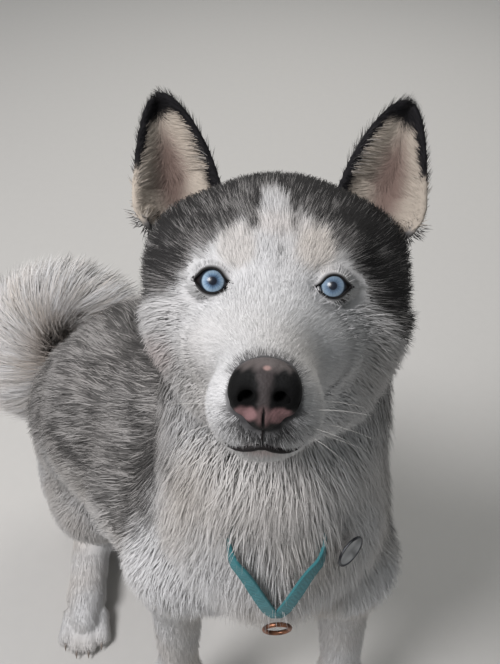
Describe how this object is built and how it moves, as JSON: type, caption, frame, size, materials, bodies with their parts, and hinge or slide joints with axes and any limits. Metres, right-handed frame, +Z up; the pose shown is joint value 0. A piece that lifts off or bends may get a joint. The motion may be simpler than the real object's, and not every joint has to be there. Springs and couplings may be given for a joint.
{
  "type": "siberian husky",
  "caption": "Life-size sitting Siberian husky, head raised to the viewer, tail curled up behind, with a plain collar, ring and blank tag.",
  "frame": {"origin": "on the floor, under the middle of the dog's bounding box", "axes": "+Z up, -Y the way the chest and face are turned, +X to the dog's left"},
  "size_m": [0.4882, 0.5946, 0.7487],
  "materials": {
    "coat": "dense double coat, white to charcoal",
    "ear": "short dense fur",
    "eye": "pale blue iris, clear and wet",
    "nose": "fine pebbled, moist",
    "collar": "woven webbing",
    "ring": "worn",
    "tag": "plain, blank"
  },
  "bodies": {
    "root": {"forepaw_left": "coat", "foreleg_left": "coat", "forepaw_right": "coat", "foreleg_right": "coat", "hind_foot_left": "coat", "hind_foot_right": "coat", "thigh_left": "coat", "thigh_right": "coat", "lower_jaw": "coat", "head": "coat", "neck": "coat", "hindquarters": "coat", "chest": "coat", "tail_root": "coat", "tail_middle": "coat", "tail_tip": "coat", "eye_left": "eye", "eye_right": "eye", "ear_left": "ear", "ear_right": "ear", "nose": "nose", "collar": "collar", "collar_ring": "ring", "tag": "tag"}
  },
  "joints": []
}
